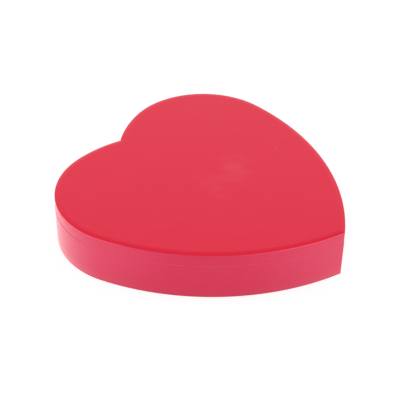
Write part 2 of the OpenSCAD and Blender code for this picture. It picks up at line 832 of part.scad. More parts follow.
module air_brake_fan() {
    color("white") at_movement() translate([worm_x, worm_y, fan_z]) difference() {
        union() {
            cylinder(r = 1.3, h = fan_h);
            translate([-fan_r, -0.3, 0]) cube([2 * fan_r, 0.6, fan_h]);
        }
        translate([0, 0, -1]) cylinder(d = 1.2, h = fan_h + 2);
    }
}

module brake_disc() {
    color("silver") at_movement() translate([worm_x, worm_y, brake_z]) difference() {
        cylinder(r = 2.4, h = 0.5);
        translate([0, 0, -1]) cylinder(d = 1.24, h = 2);
    }
}

module stop_lever() {
    pivot_z = lever_z + 0.4;
    color("lightgray") at_movement() difference() {
        union() {
            translate([lever_x, lever_y - 0.9, lever_z]) cube([wire_x - lever_x + 0.4, 1.8, 0.8]);
            translate([wire_x, lever_y, lever_z]) cylinder(r = 0.4, h = rim_z - lever_z);
            translate([lever_x, lever_y + 0.9, pivot_z]) rotate([90, 0, 0]) cylinder(r = 0.95, h = 1.8);
        }
        translate([lever_x, lever_y + 3, pivot_z]) rotate([90, 0, 0]) cylinder(r = 0.4 + run_fit, h = 6);
    }
}

module stop_lever_pin() {
    color("gray") at_movement() translate([lever_x, lever_y + 1.9, lever_z + 0.4]) rotate([90, 0, 0])
        cylinder(r = 0.4, h = 3.8);
}

lid_top_board();
lid_wall();
lid_top_wrap();
lid_side_wrap();
lid_top_liner();
lid_side_liner();
tray_wall();
tray_wrap();
riser_strip();
tray_floor();
storage_pad();
storage_lining();
partition();
cover_ledge();
clear_cover();
bedplate();
mounting_screws();
great_wheel();
barrel_drum();
barrel_cap();
mainspring();
winding_arbor();
winding_key();
barrel_pillars();
barrel_bridge();
bridge_screws();
ratchet_wheel();
click();
click_screw();
click_spring();
music_cylinder();
cylinder_pins();
cylinder_arbor();
cylinder_pinion();
cylinder_gear();
cylinder_bracket();
comb();
comb_screws();
governor_plate();
governor_outer_plate();
governor_frame();
bracket_screws();
first_arbor();
first_wheel();
worm_wheel_arbor();
worm_wheel();
worm();
air_brake_fan();
brake_disc();
stop_lever();
stop_lever_pin();
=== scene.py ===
# A wind up music box in a heart-shaped paper-covered box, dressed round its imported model.
import json
import math

import bmesh
import bpy
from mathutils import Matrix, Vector

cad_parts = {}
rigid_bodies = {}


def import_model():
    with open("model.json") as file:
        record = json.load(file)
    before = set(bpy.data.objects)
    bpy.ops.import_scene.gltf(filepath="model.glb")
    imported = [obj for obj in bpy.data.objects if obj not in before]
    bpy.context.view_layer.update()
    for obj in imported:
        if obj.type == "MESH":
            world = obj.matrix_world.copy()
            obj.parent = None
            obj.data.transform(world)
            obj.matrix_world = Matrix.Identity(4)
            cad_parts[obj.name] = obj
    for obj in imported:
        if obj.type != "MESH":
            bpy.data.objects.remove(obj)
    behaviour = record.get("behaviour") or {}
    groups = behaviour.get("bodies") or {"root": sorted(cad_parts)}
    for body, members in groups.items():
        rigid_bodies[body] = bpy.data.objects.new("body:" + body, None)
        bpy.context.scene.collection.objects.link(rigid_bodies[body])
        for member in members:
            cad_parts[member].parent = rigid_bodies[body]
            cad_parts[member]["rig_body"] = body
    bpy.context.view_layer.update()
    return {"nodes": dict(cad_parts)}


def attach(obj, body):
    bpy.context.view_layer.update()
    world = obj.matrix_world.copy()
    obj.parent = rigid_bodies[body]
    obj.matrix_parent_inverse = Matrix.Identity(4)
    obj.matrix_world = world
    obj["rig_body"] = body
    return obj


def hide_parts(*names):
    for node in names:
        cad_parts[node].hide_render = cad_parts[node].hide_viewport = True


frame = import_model()

# ---------------------------------------------------------------------------
# Camera. A long portrait lens about 0.87 m from the box, looking down 38 degrees
# on its front left edge, and turned by a hair, as a hand-levelled tripod is.

look_at = Vector((0.014151, 0.027611, 0.000187))
camera_azimuth, camera_elevation = math.radians(-56.479), math.radians(37.871)
camera_distance, camera_roll = 0.87236, math.radians(-0.843)

towards_camera = Vector((math.sin(camera_azimuth) * math.cos(camera_elevation),
                         -math.cos(camera_azimuth) * math.cos(camera_elevation),
                         math.sin(camera_elevation)))
level_right = Vector((math.cos(camera_azimuth), math.sin(camera_azimuth), 0.0))
level_up = towards_camera.cross(level_right)
camera_right = level_right * math.cos(camera_roll) - level_up * math.sin(camera_roll)
camera_up = level_right * math.sin(camera_roll) + level_up * math.cos(camera_roll)

bpy.ops.object.camera_add(location=look_at + towards_camera * camera_distance)
camera = bpy.context.object
camera.name = "camera"
turn = camera.matrix_world.copy()
for column, axis in enumerate((camera_right, camera_up, towards_camera)):
    for row in range(3):
        turn[row][column] = axis[row]
camera.matrix_world = turn
camera.data.sensor_width = 36.0
camera.data.sensor_fit = "HORIZONTAL"
camera.data.lens = 97.50
camera.data.clip_start = 0.01
camera.data.dof.use_dof = False
bpy.context.scene.camera = camera
bpy.context.scene.view_settings.view_transform = "Standard"

# ---------------------------------------------------------------------------
# Studio. A white table top between two soft boxes, with pale walls all round
# that are dimmer behind the camera. The table keeps a faint shadow of the box.


class Reading:
    """One socket of a finish, so that sums on it read as plain arithmetic."""

    def __init__(self, finish, socket):
        self.finish, self.socket = finish, socket

    def sum(self, operation, *values):
        return self.finish.node("ShaderNodeMath", {"operation": operation}, dict(enumerate(values)))

    def __add__(self, other):
        return self.sum("ADD", self, other)

    def __sub__(self, other):
        return self.sum("SUBTRACT", self, other)

    def __rsub__(self, other):
        return self.sum("SUBTRACT", other, self)

    def __mul__(self, other):
        return self.sum("MULTIPLY", self, other)

    __radd__, __rmul__ = __add__, __mul__

    def most(self, other):
        return self.sum("MAXIMUM", self, other)

    def least(self, other):
        return self.sum("MINIMUM", self, other)

    def step(self, low, high):
        """0 below low, 1 above high, and a soft slope between them."""
        return self.finish.node("ShaderNodeMapRange", {"interpolation_type": "SMOOTHSTEP"},
                                {"Value": self, "From Min": low, "From Max": high})


class Finish:
    """A node tree for one finish: a material, or the room's own light."""

    def __init__(self, name="", owner=None):
        self.owner = owner or bpy.data.materials.new(name)
        self.owner.use_nodes = True
        self.tree = self.owner.node_tree
        self.tree.nodes.clear()

    def node(self, kind, settings=None, sockets=None, out=0):
        made = self.tree.nodes.new(kind)
        for name, value in (settings or {}).items():
            setattr(made, name, value)
        for name, value in (sockets or {}).items():
            if isinstance(value, Reading):
                self.tree.links.new(value.socket, made.inputs[name])
            elif isinstance(value, tuple) and made.inputs[name].type == "RGBA":
                made.inputs[name].default_value = (*value, 1.0)
            else:
                made.inputs[name].default_value = value
        return Reading(self, made.outputs[out])

    def place(self, turn=0.0, scale=(1.0, 1.0, 1.0)):
        """Where a point lies on the piece, in metres, turned about z and scaled."""
        where = self.node("ShaderNodeTexCoord", out="Object")
        turned = self.node("ShaderNodeMapping", {"vector_type": "POINT"},
                           {"Vector": where, "Rotation": (0.0, 0.0, turn)})
        return self.node("ShaderNodeMapping", {"vector_type": "POINT"},
                         {"Vector": turned, "Scale": scale})

    def noise(self, where, scale, detail=3.0, roughness=0.55):
        return self.node("ShaderNodeTexNoise", {},
                         {"Vector": where, "Scale": scale, "Detail": detail,
                          "Roughness": roughness})

    def blend(self, share, low, high):
        """A colour between two, low where share is 0 and high where it is 1."""
        return self.node("ShaderNodeMix", {"data_type": "RGBA"}, {0: share, 6: low, 7: high}, out=2)

    def bump(self, height, distance, strength=1.0):
        return self.node("ShaderNodeBump", {},
                         {"Height": height, "Distance": distance, "Strength": strength})

    def surface(self, **sockets):
        """The finish's shader; words in a socket's name are joined by underscores."""
        shader = self.node("ShaderNodeBsdfPrincipled", {},
                           {name.replace("_", " "): value for name, value in sockets.items()})
        self.node_output(shader)
        return self.owner

    def node_output(self, shader, kind="ShaderNodeOutputMaterial"):
        made = self.tree.nodes.new(kind)
        self.tree.links.new(shader.socket, made.inputs["Surface"])


def seen_rays(finish):
    """1 for what the lens, a reflection or a clear sheet sees, 0 for the light on things."""
    camera_ray = finish.node("ShaderNodeLightPath", out="Is Camera Ray")
    glossy_ray = finish.node("ShaderNodeLightPath", out="Is Glossy Ray")
    clear_ray = finish.node("ShaderNodeLightPath", out="Is Transmission Ray")
    return camera_ray.most(glossy_ray).most(clear_ray)


WHITE = (1.0, 1.0, 1.0)
room = Finish(owner=bpy.data.worlds.new("studio_room"))
bpy.context.scene.world = room.owner
heading = room.node("ShaderNodeTexCoord", out="Generated")
# how far a direction leans towards the dim side, above and behind the camera
lean = room.node("ShaderNodeVectorMath", {"operation": "DOT_PRODUCT"},
                 {0: heading, 1: (-0.54, -0.38, 0.75)}, out="Value")
gloss_light = 1.0 - lean.step(0.0, 0.26) * 0.95
fill_light = 1.02 - lean.step(0.10, 0.90) * 0.16
glancing = room.node("ShaderNodeLightPath", out="Is Glossy Ray")
straight = room.node("ShaderNodeLightPath", out="Is Camera Ray")
through = room.node("ShaderNodeLightPath", out="Is Transmission Ray")
walls = gloss_light * glancing + fill_light * (1.0 - glancing)
room_shader = room.node("ShaderNodeBackground", {},
                        {"Color": WHITE, "Strength": walls.most(straight.most(through))})
room.node_output(room_shader, "ShaderNodeOutputWorld")

# the table top lies a hair under the box's foot, in metres
UNDER_BOX = -0.0002
bpy.ops.mesh.primitive_plane_add(size=6.0, location=(0.0, 0.0, UNDER_BOX))
table_top = bpy.context.object
table_top.name = "table_top"
table = Finish("white_table")
matt_white = table.node("ShaderNodeBsdfDiffuse", {}, {"Color": (0.90, 0.90, 0.90)})
faint = table.node("ShaderNodeBsdfDiffuse", {}, {"Color": (0.22, 0.22, 0.22)})
# the table is brighter beside the box, left and right, than in front of it
sideways = table.node("ShaderNodeVectorMath", {"operation": "DOT_PRODUCT"},
                      {0: table.node("ShaderNodeTexCoord", out="Object"),
                       1: (level_right.x, level_right.y, 0.0)}, out="Value")
beside = (sideways.step(0.0, 0.11) * 0.5).most(sideways.step(-0.03, -0.12) * 0.68)
mirrored = table.node("ShaderNodeLightPath", out="Is Glossy Ray")
glow = table.node("ShaderNodeEmission", {},
                  {"Color": WHITE, "Strength": 0.84 + beside * mirrored})
lit = table.node("ShaderNodeAddShader", {}, {0: faint, 1: glow})
table.node_output(table.node("ShaderNodeMixShader", {},
                             {0: seen_rays(table), 1: matt_white, 2: lit}))
table_top.data.materials.append(table.owner)


def soft_box(name, location, width, height, energy):
    """A wide white panel lamp, aimed at the box and kept out of the picture."""
    bpy.ops.object.light_add(type="AREA", location=location)
    lamp = bpy.context.object
    lamp.name = name
    lamp.data.shape = "RECTANGLE"
    lamp.data.size, lamp.data.size_y = width, height
    lamp.data.energy = energy
    towards_box = Vector((0.0, 0.0, 0.02)) - lamp.location
    lamp.rotation_euler = towards_box.to_track_quat("-Z", "Y").to_euler()
    lamp.visible_camera = False


# one stands well off each side of the box, square to the lens
soft_box("soft_box_left", (-0.70, 1.05, 0.68), 0.32, 0.32, 2.2)
soft_box("soft_box_right", (0.68, -1.05, 0.66), 0.30, 0.30, 2.2)

# ---------------------------------------------------------------------------
# Lid top cover. One sheet of glossy red paper with a fine rib, glued over the
# top board, folded over its rounded edge and turned down 11 mm round the side.

MM = 0.001
# each arc of the heart's right half: its centre, its radius and where it ends, in mm and degrees
OUTLINE = (((-81.44, 65.254), 191.2, -9.5273),
           ((44.4, 44.134), 63.6, 94.9794),
           ((47.804, 5.062), 102.82, 124.0))
# the cut profile starts at this bearing, past the tip, and is carried along each arc in steps
START = -66.0
STEPS = (52, 68, 18)
# how near two corners are one corner, in metres: across the mirror's seam, within one
# solid, and where only rounding can part them
SEAM, TOUCHING, EXACT = 2e-6, 1e-6, 1e-7
SMOOTH_ANGLE = math.radians(35.0)


def pick(test, kind="vert"):
    """In edit mode, selects what passes a test, and nothing else."""
    bpy.ops.mesh.select_mode(type=kind.upper())
    bpy.ops.mesh.select_all(action="DESELECT")
    cage = bmesh.from_edit_mesh(bpy.context.object.data)
    for part in {"vert": cage.verts, "edge": cage.edges}[kind]:
        if test(part):
            part.select = True
    cage.select_flush(True)
    bmesh.update_edit_mesh(bpy.context.object.data)


def swept(name, profile, closed=True, tip_round=0.0):
    """Runs a cut profile of (inset, height) points, in mm, once round the heart."""
    bpy.ops.object.select_all(action="DESELECT")
    (x, y), radius, _ = OUTLINE[0]
    outwards = Vector((math.cos(math.radians(START)), math.sin(math.radians(START)), 0.0))
    points = [Vector((x, y, height)) * MM + outwards * (radius - inset) * MM
              for inset, height in profile]
    bpy.ops.mesh.primitive_plane_add(size=0.02 * MM, location=points[0])
    piece = bpy.context.object
    piece.name = name
    bpy.ops.object.mode_set(mode="EDIT")
    bpy.ops.mesh.select_mode(type="VERT")
    bpy.ops.mesh.merge(type="CENTER")
    for before, after in zip(points, points[1:]):
        bpy.ops.mesh.extrude_vertices_move(TRANSFORM_OT_translate={"value": after - before})
    if closed:
        ends = (points[0] - piece.location, points[-1] - piece.location)
        pick(lambda v: min((v.co - end).length for end in ends) < EXACT)
        bpy.ops.mesh.edge_face_add()
    bpy.ops.mesh.select_all(action="SELECT")
    reached = START
    for ((x, y), radius, end), steps in zip(OUTLINE, STEPS):
        bpy.ops.mesh.spin(steps=steps, angle=math.radians(reached - end),
                          center=(x * MM, y * MM, 0.0), axis=(0.0, 0.0, 1.0))
        reached = end
    bpy.ops.mesh.select_all(action="SELECT")
    bpy.ops.mesh.bisect(plane_co=(0.0, 0.0, 0.0), plane_no=(1.0, 0.0, 0.0),
                        clear_inner=True, threshold=EXACT)
    bpy.ops.object.mode_set(mode="OBJECT")
    bpy.ops.object.transform_apply(location=True, rotation=True, scale=True)
    mirror = piece.modifiers.new("other_half", "MIRROR")
    mirror.merge_threshold = SEAM
    bpy.ops.object.modifier_apply(modifier=mirror.name)
    bpy.ops.object.mode_set(mode="EDIT")
    bpy.ops.mesh.select_all(action="SELECT")
    bpy.ops.mesh.remove_doubles(threshold=SEAM)
    if not closed:
        bpy.ops.mesh.select_all(action="SELECT")
        bpy.ops.mesh.fill_holes(sides=0)
    if tip_round:
        def upright_at_tip(edge):
            low, high = (corner.co for corner in edge.verts)
            on_middle = all(abs(end.x) < TOUCHING and end.y < -80.0 * MM for end in (low, high))
            return on_middle and abs(low.z - high.z) > 0.8 * abs(low.y - high.y)

        pick(upright_at_tip, "edge")
        bpy.ops.mesh.bevel(offset=tip_round * MM, segments=3, affect="EDGES")
    bpy.ops.mesh.select_all(action="SELECT")
    bpy.ops.mesh.normals_make_consistent(inside=False)
    bpy.ops.object.mode_set(mode="OBJECT")
    bpy.ops.object.shade_smooth_by_angle(angle=SMOOTH_ANGLE)
    return piece


def rounded(centre, radius, first, last, count):
    """Points on a round corner of a profile, by angle: 0 is outwards, 90 is up."""
    turns = [math.radians(first + (last - first) * n / count) for n in range(count + 1)]
    return [(centre[0] - radius * math.cos(a), centre[1] + radius * math.sin(a)) for a in turns]


def settle(piece, body, slot, material, *nodes):
    """Gives a finished piece its finish and its body, and hides the plain solids that it stands
    for.
    """
    piece.data.materials.clear()
    piece.data.materials.append(material)
    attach(piece, body)
    if nodes:
        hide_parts(*nodes)


# the fold at the lid's rim, and the line across the heart where the painted highlight along the
# fold is weakest, in mm
FOLD_Z, HIGHLIGHT_WEAKEST_Y = 39.0, -28.0


def red_paper(name, rib, deep, bright, gloss, tint, scuffs=()):
    """Glossy coated red paper: a fine rib, a soft mottle, rubbed spots, and a painted highlight
    along the fold at the lid's rim.

    Each scuff is its x, y and half sizes in mm, and how far it is rubbed through.
    """
    paper = Finish(name)
    along = paper.place(turn=rib, scale=(1.0 / 0.014, 1.0 / 0.0026, 1.0 / 0.0060))
    ribs = paper.noise(along, 1.0, detail=2.0, roughness=0.5)
    fibres = paper.noise(paper.place(), 900.0, detail=2.0)
    clouds = paper.noise(paper.place(), 22.0, detail=3.0)
    smears = paper.noise(paper.place(turn=rib, scale=(0.6, 1.0, 1.0)), 130.0, detail=3.0)
    tone = (clouds - 0.5) * 0.10 + (ribs - 0.5) * 0.34
    colour = paper.blend((tone + 0.5).least(1.0).most(0.0), deep, bright)
    shine = 0.32 + (clouds - 0.5) * 0.05 + (fibres - 0.5) * 0.04
    for x, y, half_x, half_y, share in scuffs:
        spot = paper.node("ShaderNodeMapping", {"vector_type": "TEXTURE"},
                          {"Vector": paper.place(), "Location": (x * MM, y * MM, 0.040),
                           "Rotation": (0.0, 0.0, rib), "Scale": (half_x * MM, half_y * MM, 0.01)})
        far = paper.node("ShaderNodeVectorMath", {"operation": "LENGTH"}, {0: spot}, out="Value")
        rubbed = (1.0 - (far + (smears - 0.5) * 2.6 + (ribs - 0.5) * 1.0).step(0.0, 1.15)) * share
        colour = paper.blend(rubbed, colour, (0.80, 0.20, 0.17))
        shine = shine + rubbed * 0.2
    # a painted highlight: the colour is blended towards a bright red in a thin band along the fold
    # over the lid's rim, strongest round the two lobes and at the tip and weakest across the middle
    # of the heart
    above = paper.node("ShaderNodeSeparateXYZ", {}, {"Vector": paper.place()}, out="Z")
    behind = paper.node("ShaderNodeSeparateXYZ", {}, {"Vector": paper.place()}, out="Y")
    off_weakest_line = behind - HIGHLIGHT_WEAKEST_Y * MM
    painted_highlight = off_weakest_line.most(off_weakest_line * -1.0).step(25.0 * MM, 60.0 * MM) * 0.75 + 0.15
    over_foot = above.step((FOLD_Z - 0.4) * MM, FOLD_Z * MM)
    under_top = above.step((FOLD_Z + 0.42) * MM, (FOLD_Z + 0.32) * MM)
    colour = paper.blend(over_foot * under_top * painted_highlight, colour, (1.0, 0.085, 0.14))
    height = ribs * 0.7 + fibres * 0.3
    return paper.surface(Base_Color=colour, Roughness=shine,
                         Normal=paper.bump(height, 0.00005, 0.5),
                         Specular_IOR_Level=gloss, Specular_Tint=tint)


RIB_TURN = math.radians(56.5)
# heights in mm: the lid's top, its ceiling and the tray's rim, and the tray's raised floor
BOX_TOP, RIM_Z, FLOOR_Z = 40.0, 37.6, 15.5
# how far each face lies in from the outline, in mm: the lid's wall, then the tray's wall
PAPER, LID_OUT, LID_IN, TRAY_OUT, TRAY_IN = 0.2, 0.4, 1.9, 2.9, 4.9
# where the turned-down sheet ends, and where the strip's turned-in edge ends, in mm
DOWN_Z, TURNED_IN_Z = 28.7, 7.7


def rolled_edge(inset, height, reach=4.6, fall=0.62, corner=0.32):
    """Points on a pressed board's edge: a gentle fall, then a tight corner to its side."""
    run = reach - corner
    slope = [(inset + reach - run * n / 7.0, height - fall * (n / 7.0) ** 2) for n in range(7)]
    lean = math.degrees(math.atan(2.0 * fall / run))
    return slope + rounded((inset + corner, height - fall - corner * math.cos(math.radians(lean))),
                           corner, 90.0 - lean, 0.0, 5)


top_paper = red_paper("ribbed_red_paper", RIB_TURN, (0.660, 0.008, 0.020), (0.820, 0.016, 0.040),
                      0.50, (1.0, 0.40, 0.88),
                      scuffs=((14.0, -6.0, 19.0, 12.0, 0.08), (-6.0, 2.0, 17.0, 12.0, 0.07),
                              (26.0, 6.0, 15.0, 14.0, 0.07),
                              (63.0, -12.5, 2.2, 1.2, 0.20)))
BOARD_TOP = BOX_TOP - PAPER
board_edge = rolled_edge(LID_OUT, BOARD_TOP, 4.4, 0.62, 0.12)
lid_top_paper = swept("lid_top_paper",
                      [(8.0, BOX_TOP), (5.6, BOX_TOP)] + rolled_edge(PAPER, BOX_TOP)
                      + [(PAPER, 34.0), (PAPER, DOWN_Z), (LID_OUT, DOWN_Z), (LID_OUT, 34.0)]
                      + board_edge[::-1] + [(5.6, BOARD_TOP), (8.0, BOARD_TOP)],
                      closed=False, tip_round=0.3)
settle(lid_top_paper, "lid", "red_paper", top_paper, "lid_top_wrap")

# stretched tight round the side, the sheet loses its rib there; its colour is also painted a little
# pinker than the top's, a painted reflection of the pale room on the upright side
side_paper = red_paper("smooth_red_paper_painted_pinker", 0.0, (0.650, 0.008, 0.038), (0.810, 0.016, 0.064),
                       0.72, (1.0, 0.58, 0.98))
lid_top_paper.data.materials.append(side_paper)
for face in lid_top_paper.data.polygons:
    if face.center.z < (FOLD_Z + 0.1) * MM:
        face.material_index = 1

# ---------------------------------------------------------------------------
# Lid side cover. A long strip of the same red paper glued round the side. Its
# top edge laps the turned-down sheet, and its foot is turned in under the wall.

# the lap's height, and how far under it a corner still belongs to the cut edge, in mm
LAP_Z, CUT_EDGE = 29.5, 0.1
foot = rounded((0.25, 0.50), 0.25, 0.0, -90.0, 3) + rounded((1.80, 0.55), 0.30, -90.0, -180.0, 3)
outside = [(PAPER, LAP_Z), (0.05, LAP_Z), (0.0, LAP_Z - 0.05), (0.0, 28.0), (0.0, 20.0),
           (0.0, 10.0)]
inside = [(LID_IN + PAPER, 7.55), (2.04, 7.66), (LID_IN, TURNED_IN_Z), (LID_IN, 0.9),
          (LID_OUT, 0.9), (LID_OUT, DOWN_Z), (PAPER, DOWN_Z)]
lid_side_paper = swept("lid_side_paper", outside + foot + inside)
settle(lid_side_paper, "lid", "red_paper", side_paper, "lid_side_wrap")

# the strip's cut edge shows the paper's pale core
core = Finish("pale_paper_core")
core_fibres = core.noise(core.place(), 2400.0, detail=2.0)
pale_core = core.surface(Base_Color=core.blend(core_fibres, (0.90, 0.15, 0.20), (0.96, 0.24, 0.30)),
                         Roughness=0.75 + (core_fibres - 0.5) * 0.2)
lid_side_paper.data.materials.append(pale_core)
for face in lid_side_paper.data.polygons:
    if face.normal.z > 0.7 and face.center.z > (LAP_Z - CUT_EDGE) * MM:
        face.material_index = 1

# it was cut by hand, so the lap wanders up and down a little
for corner in lid_side_paper.data.vertices:
    if corner.co.z > (LAP_Z - CUT_EDGE) * MM:
        bearing = math.atan2(corner.co.y, corner.co.x)
        corner.co.z += (0.10 * math.sin(3.0 * bearing + 0.7) + 0.05 * math.sin(11.0 * bearing)) * MM

# ---------------------------------------------------------------------------
# Boards. Grey recycled board, 2 mm thick and 1.5 mm for the lid's wall, die cut,
# bent round and glued edge to edge. It shows only where no paper covers it.


def grey_board(name):
    """Recycled board: a dull grey pulp with darker and paler flecks, and a fibrous tooth."""
    board = Finish(name)
    pulp = board.noise(board.place(), 160.0, detail=5.0)
    flecks = board.noise(board.place(scale=(1.0, 1.0, 0.4)), 1400.0, detail=1.0)
    dark = flecks.step(0.62, 0.72) * 0.6
    base = board.blend(pulp, (0.46, 0.41, 0.35), (0.63, 0.58, 0.52))
    colour = board.blend(dark, base, (0.22, 0.19, 0.17))
    return board.surface(Base_Color=colour, Roughness=0.86 + (pulp - 0.5) * 0.12,
                         Normal=board.bump(pulp * 0.5 + flecks * 0.5, 0.00008, 0.7))


def refinish(material, *nodes):
    """A plain solid whose shape is right keeps it and gets its real finish."""
    for node in nodes:
        kept = frame["nodes"][node].data.materials
        kept.clear()
        kept.append(material)


board_grey = grey_board("grey_board")
refinish(board_grey, "lid_wall", "tray_wall", "riser_strip", "tray_floor")
lid_board = swept("pressed_lid_board",
                  [(8.0, BOARD_TOP), (5.6, BOARD_TOP)] + board_edge
                  + [(LID_OUT, RIM_Z + PAPER), (8.0, RIM_Z + PAPER)], closed=False)
settle(lid_board, "lid", "greyboard", board_grey, "lid_top_board")

# ---------------------------------------------------------------------------
# Lid liners. White litho paper glued inside the lid, one heart on the ceiling
# and one strip round the wall, over the turned-in edge of the red strip.


def liner_finish(name):
    """Uncoated white paper: faint clouds of fibre, and a soft tooth."""
    paper = Finish(name)
    clouds = paper.noise(paper.place(), 120.0, detail=4.0)
    fibres = paper.noise(paper.place(scale=(1.0, 0.35, 1.0)), 1600.0, detail=2.0)
    tone = (clouds * 0.6 + fibres * 0.4).step(0.30, 0.70)
    colour = paper.blend(tone, (0.80, 0.77, 0.74), (0.91, 0.89, 0.87))
    return paper.surface(Base_Color=colour, Roughness=0.72 + (clouds - 0.5) * 0.15,
                         Normal=paper.bump(fibres * 0.6 + clouds * 0.4, 0.00004, 0.5),
                         Specular_IOR_Level=0.3)


white_liner = liner_finish("white_liner_paper")
lid_ceiling_paper = swept("lid_ceiling_paper",
                          [(6.0, RIM_Z), (LID_IN + 0.07, RIM_Z), (LID_IN, RIM_Z + 0.07),
                           (LID_IN, RIM_Z + PAPER), (6.0, RIM_Z + PAPER)], closed=False)
settle(lid_ceiling_paper, "lid", "liner_paper", white_liner, "lid_top_liner")
lid_wall_paper = swept("lid_wall_paper",
                       [(LID_IN, TURNED_IN_Z), (2.04, TURNED_IN_Z), (LID_IN + PAPER, 7.76),
                        (LID_IN + PAPER, 21.0), (LID_IN + PAPER, RIM_Z - 0.1),
                        (LID_IN + 0.07, RIM_Z), (LID_IN, RIM_Z)])
settle(lid_wall_paper, "lid", "liner_paper", white_liner, "lid_side_liner")

# ---------------------------------------------------------------------------
# Tray cover. Red paper wrapped down the outside of the tray wall, turned under
# its foot, and folded over the rim to line the inside of the wall.

RIM_ROUND = 0.4
outer_face, inner_face = TRAY_OUT - PAPER, TRAY_IN + PAPER
rim_fold = (rounded((outer_face + RIM_ROUND, RIM_Z - RIM_ROUND), RIM_ROUND, 0.0, 90.0, 4)
            + rounded((inner_face - RIM_ROUND, RIM_Z - RIM_ROUND), RIM_ROUND, 90.0, 180.0, 4))
tray_paper = swept("tray_paper",
                   [(TRAY_IN, 0.0), (2.95, 0.0), (2.76, 0.06), (outer_face, 0.25),
                    (outer_face, 17.0)] + rim_fold
                   + [(inner_face, 26.0), (inner_face, FLOOR_Z), (TRAY_IN, FLOOR_Z),
                      (TRAY_IN, RIM_Z - 0.6), (4.5, RIM_Z - PAPER), (3.3, RIM_Z - PAPER),
                      (TRAY_OUT, RIM_Z - 0.6), (TRAY_OUT, PAPER), (TRAY_IN, PAPER)])
settle(tray_paper, "tray", "red_paper", side_paper, "tray_wrap")

# ---------------------------------------------------------------------------
# Storage pad. A thin sheet of foam under flocked cloth, cut to the back of the
# heart and laid on the tray floor, a little full in the middle and soft at the edge.

# the partition's two faces, the pad's height along its edge, and the spacing of the cuts
# across its mesh that let it swell, in mm
PARTITION_BACK, PARTITION_FRONT, PAD_EDGE_H, CUTS = -9.6, -12.0, 1.2, 6


def trimmed(piece, line_y, keep_behind=True):
    """Cuts a piece square across the heart at line_y mm, and closes the cut."""
    bpy.context.view_layer.objects.active = piece
    bpy.ops.object.mode_set(mode="EDIT")
    bpy.ops.mesh.select_mode(type="VERT")
    bpy.ops.mesh.select_all(action="SELECT")
    bpy.ops.mesh.bisect(plane_co=(0.0, line_y * MM, 0.0), plane_no=(0.0, 1.0, 0.0), use_fill=True,
                        clear_inner=keep_behind, clear_outer=not keep_behind, threshold=EXACT)
    bpy.ops.object.mode_set(mode="OBJECT")


def flocked(name, dark, light):
    """Short rayon pile on cloth: deep red, paler where the nap is brushed the other way."""
    cloth = Finish(name)
    brushed = cloth.noise(cloth.place(), 34.0, detail=3.0)
    pile = cloth.noise(cloth.place(), 2600.0, detail=1.0)
    nap = (brushed * 0.6 + pile * 0.4).step(0.32, 0.68)
    return cloth.surface(Base_Color=cloth.blend(nap, dark, light),
                         Roughness=0.9 + (pile - 0.5) * 0.1, Normal=cloth.bump(pile, 0.00012, 0.8),
                         Sheen_Weight=0.55, Sheen_Roughness=0.35, Sheen_Tint=(1.0, 0.45, 0.50),
                         Specular_IOR_Level=0.2)


red_flock = flocked("red_flock", (0.22, 0.004, 0.014), (0.40, 0.016, 0.036))
pad_edge = [(inset, FLOOR_Z + height) for inset, height in
            ((9.0, 0.0), (5.6, 0.0), (5.25, 0.2), (5.15, 0.6), (5.35, 0.95), (5.9, 1.15),
             (9.0, PAD_EDGE_H))]
pad = swept("flocked_pad", pad_edge, closed=False)
trimmed(pad, PARTITION_BACK + 0.1)
bpy.ops.object.mode_set(mode="EDIT")
bpy.ops.mesh.select_mode(type="VERT")
for cut in range(-96, 97, CUTS):
    bpy.ops.mesh.select_all(action="SELECT")
    bpy.ops.mesh.bisect(plane_co=(cut * MM, 0.0, 0.0), plane_no=(1.0, 0.0, 0.0), threshold=EXACT)
for cut in range(-6, 103, CUTS):
    bpy.ops.mesh.select_all(action="SELECT")
    bpy.ops.mesh.bisect(plane_co=(0.0, cut * MM, 0.0), plane_no=(0.0, 1.0, 0.0), threshold=EXACT)
bpy.ops.object.mode_set(mode="OBJECT")
for corner in pad.data.vertices:
    if corner.co.z > (FLOOR_Z + PAD_EDGE_H - 0.1) * MM:
        x, y = corner.co.x / MM, corner.co.y / MM
        fullness = max(0.0, 1.0 - (x / 100.0) ** 2) * max(0.0, 1.0 - ((y - 44.0) / 58.0) ** 2)
        ripple = 0.05 * math.sin(x / 9.0 + 0.6 * math.sin(y / 13.0)) * math.sin(y / 11.0 + 0.4)
        corner.co.z += (0.22 + ripple) * fullness ** 0.5 * MM
bpy.ops.object.shade_smooth_by_angle(angle=math.radians(60.0))
settle(pad, "tray", "flock", red_flock, "storage_pad")

# ---------------------------------------------------------------------------
# Storage lining. A flocked card strip stands round the wall of the storage
# side, 1 mm under the rim; a stouter one round the movement carries its cover.


def standing_strip(name, foot_z, top_z, thickness):
    """A flocked card strip on the tray's inner face, its two top corners soft, in mm."""
    soft, back = 0.3, TRAY_IN + PAPER
    return swept(name, [(back, foot_z), (back + thickness, foot_z)]
                 + rounded((back + thickness - soft, top_z - soft), soft, 180.0, 90.0, 3)
                 + rounded((back + soft, top_z - soft), soft, 90.0, 0.0, 3))


lining = standing_strip("flocked_lining", FLOOR_Z + 1.5, 36.6, 1.0)
trimmed(lining, PARTITION_BACK)
bpy.ops.object.shade_smooth_by_angle(angle=SMOOTH_ANGLE)
settle(lining, "tray", "flock", red_flock, "storage_lining")
ledge = standing_strip("flocked_ledge", FLOOR_Z, 36.4, 2.0)
trimmed(ledge, PARTITION_FRONT, keep_behind=False)
bpy.ops.object.shade_smooth_by_angle(angle=SMOOTH_ANGLE)
settle(ledge, "tray", "flock", red_flock, "cover_ledge")

# ---------------------------------------------------------------------------
# Partition. A 2.4 mm flocked board across the tray, glued to both walls. It
# keeps rings and keepsakes out of the movement and carries its cover's edge.

# faces within FLAT_ANGLE are one flat face, and a true edge turns by more than EDGE_ANGLE
FLAT_ANGLE, EDGE_ANGLE = math.radians(0.8), math.radians(40.0)


